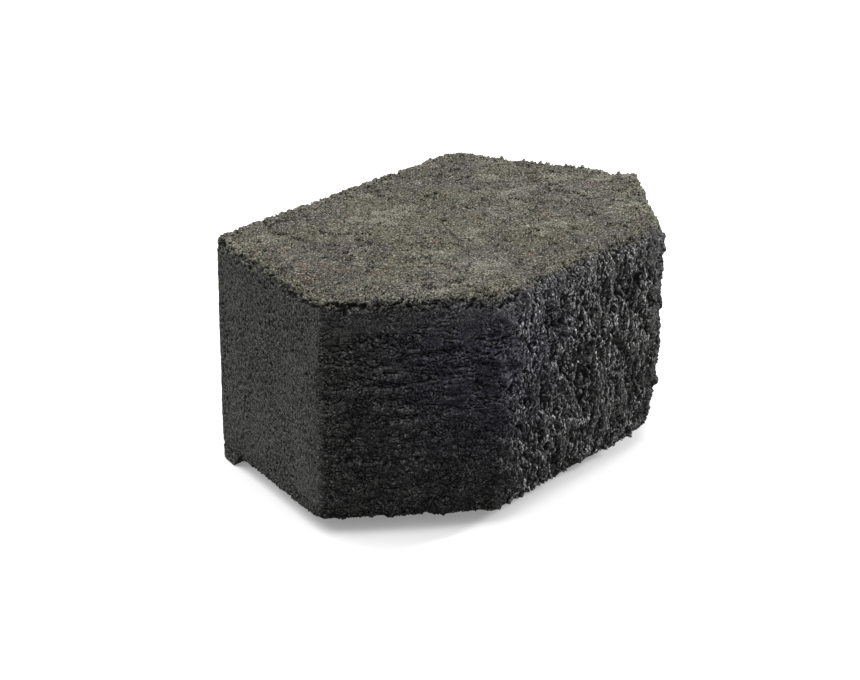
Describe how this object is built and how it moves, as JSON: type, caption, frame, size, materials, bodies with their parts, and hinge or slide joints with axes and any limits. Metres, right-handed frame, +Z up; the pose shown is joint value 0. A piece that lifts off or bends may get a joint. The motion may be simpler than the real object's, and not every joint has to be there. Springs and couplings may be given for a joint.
{
  "type": "retaining wall block",
  "caption": "Low tapered concrete retaining wall block with a three-facet split face and a rear lip that hooks behind the course below.",
  "frame": {"origin": "under the middle of the block's bounding box, on the plane of the lip's underside, which is the lowest point of the block", "axes": "+Z up, square to the bearing planes; -Y towards the nose, which is the face seen in a finished wall; +X along the width, to the right for someone facing the nose"},
  "size_m": [0.2938, 0.1878, 0.138],
  "materials": {
    "concrete": "rough, dry-cast, charcoal coloured all through, split on the three front facets"
  },
  "bodies": {
    "root": {"wall_block": "concrete"}
  },
  "joints": []
}
